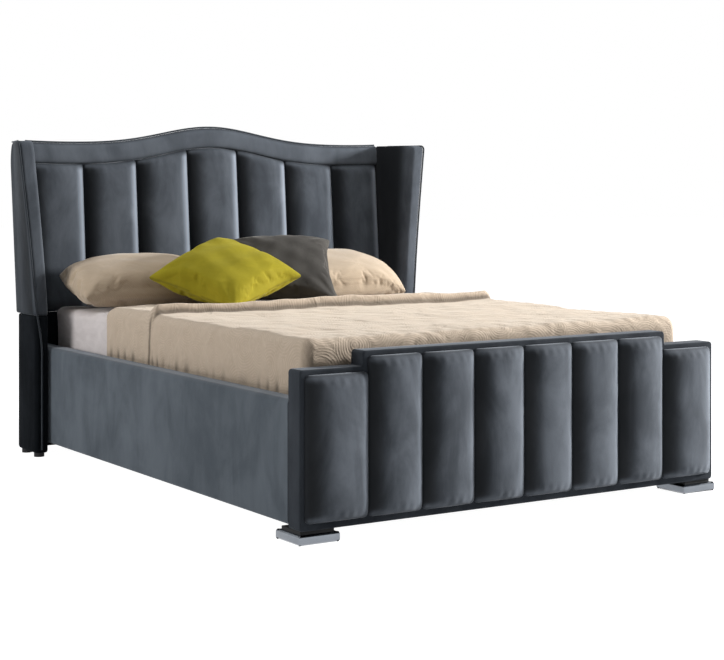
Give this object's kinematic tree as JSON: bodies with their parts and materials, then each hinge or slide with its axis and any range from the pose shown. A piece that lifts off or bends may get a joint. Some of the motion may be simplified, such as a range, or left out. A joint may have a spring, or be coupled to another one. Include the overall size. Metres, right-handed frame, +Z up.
{
  "type": "gas lift storage bed",
  "caption": "Upholstered king storage bed with a winged channelled headboard; its mattress platform lifts at the foot on arms and gas struts",
  "frame": {"origin": "on the floor at the middle of the bed's plan outline", "axes": "+X across the bed to the right seen from the foot, +Y towards the headboard, +Z up"},
  "size_m": [1.9048, 2.2107, 1.3033],
  "materials": {
    "velvet": "crushed slate-blue velvet",
    "chrome": "polished chrome",
    "black_plastic": "black moulded plastic",
    "beech": "clear-lacquered beech",
    "pine": "sawn softwood",
    "black_board": "board faced with black non-woven fabric",
    "zinc_steel": "zinc-plated steel",
    "black_paint": "black painted steel tube",
    "polished_rod": "hard-chromed rod",
    "grey_paint": "dark grey powder coat",
    "mattress_fabric": "off-white cotton sheet over a mattress",
    "beige_fabric": "sand-coloured quilted cloth",
    "green_velvet": "mustard-green velvet",
    "charcoal_fabric": "charcoal woven cloth",
    "webbing": "black webbing"
  },
  "bodies": {
    "frame": {"footboard": "velvet", "footboard_pad_1": "velvet", "footboard_pad_2": "velvet", "footboard_pad_3": "velvet", "footboard_pad_4": "velvet", "footboard_pad_5": "velvet", "footboard_pad_6": "velvet", "footboard_pad_7": "velvet", "footboard_pad_8": "velvet", "front_feet": "chrome", "front_foot_collars": "black_plastic", "side_rail_left": "velvet", "side_rail_right": "velvet", "corner_brackets": "grey_paint", "corner_bolts": "zinc_steel", "headboard_base": "velvet", "headboard_panel": "velvet", "headboard_pad_1": "velvet", "headboard_pad_2": "velvet", "headboard_pad_3": "velvet", "headboard_pad_4": "velvet", "headboard_pad_5": "velvet", "headboard_pad_6": "velvet", "headboard_pad_7": "velvet", "headboard_border": "velvet", "headboard_piping": "velvet", "wing_left": "velvet", "wing_right": "velvet", "wing_base_left": "velvet", "wing_base_right": "velvet", "wing_piping": "velvet", "headboard_straps": "grey_paint", "rear_glides": "black_plastic", "floor_battens": "pine", "storage_floor": "black_board", "centre_floor_rail": "pine", "centre_rail_feet": "black_plastic", "platform_rests": "pine", "lift_base_left": "grey_paint", "lift_base_right": "grey_paint"},
    "front_arms": {"front_arm_left": "zinc_steel", "front_arm_right": "zinc_steel"},
    "rear_arms": {"rear_arm_left": "zinc_steel", "rear_arm_right": "zinc_steel"},
    "gas_cylinders": {"strut_cylinders": "black_paint"},
    "gas_rods": {"strut_rods": "polished_rod"},
    "platform": {"lift_brackets": "grey_paint", "platform_bolts": "zinc_steel", "platform_side_bars": "grey_paint", "platform_cross_bars": "grey_paint", "platform_centre_bar": "grey_paint", "slats": "beech", "slat_caps": "black_plastic", "mattress_retainer": "grey_paint", "pull_strap": "webbing", "mattress": "mattress_fabric", "bedspread": "beige_fabric", "pillows": "beige_fabric", "cushion_diamond": "green_velvet", "cushion_square": "charcoal_fabric"}
  },
  "joints": [
    {"name": "lift", "type": "hinge", "parent": "frame", "child": "front_arms", "pos_m": [0, 0.29864, 0.239], "axis": [1, 0, 0], "range_deg": [0, 58.8]},
    {"name": "platform_hinge", "type": "hinge", "parent": "front_arms", "child": "platform", "pos_m": [0, 0.85464, 0.313], "axis": [-1, 0, 0], "range_deg": [-0.5, 93.1], "deforming": ["pillows", "cushion_diamond", "cushion_square"]},
    {"name": "rear_arm_hinge", "type": "hinge", "parent": "frame", "child": "rear_arms", "pos_m": [0, 0.09464, 0.09], "axis": [1, 0, 0], "range_deg": [-0.5, 51.23]},
    {"name": "gas_strut_hinge", "type": "hinge", "parent": "frame", "child": "gas_cylinders", "pos_m": [0, 0.42064, 0.085], "axis": [1, 0, 0], "range_deg": [-0.5, 58.1]},
    {"name": "gas_strut_slide", "type": "slide", "parent": "gas_cylinders", "child": "gas_rods", "axis": [0, 0.9315, 0.3637], "range_m": [-0.001, 0.1015]}
  ],
  "couplings": [
    {"joint": "platform_hinge", "follows": "lift", "ratio": 1.5748},
    {"joint": "rear_arm_hinge", "follows": "lift", "ratio": 0.86281},
    {"joint": "gas_strut_hinge", "follows": "lift", "ratio": 0.97955},
    {"joint": "gas_strut_slide", "follows": "lift", "m_per_rad": 0.09791}
  ]
}
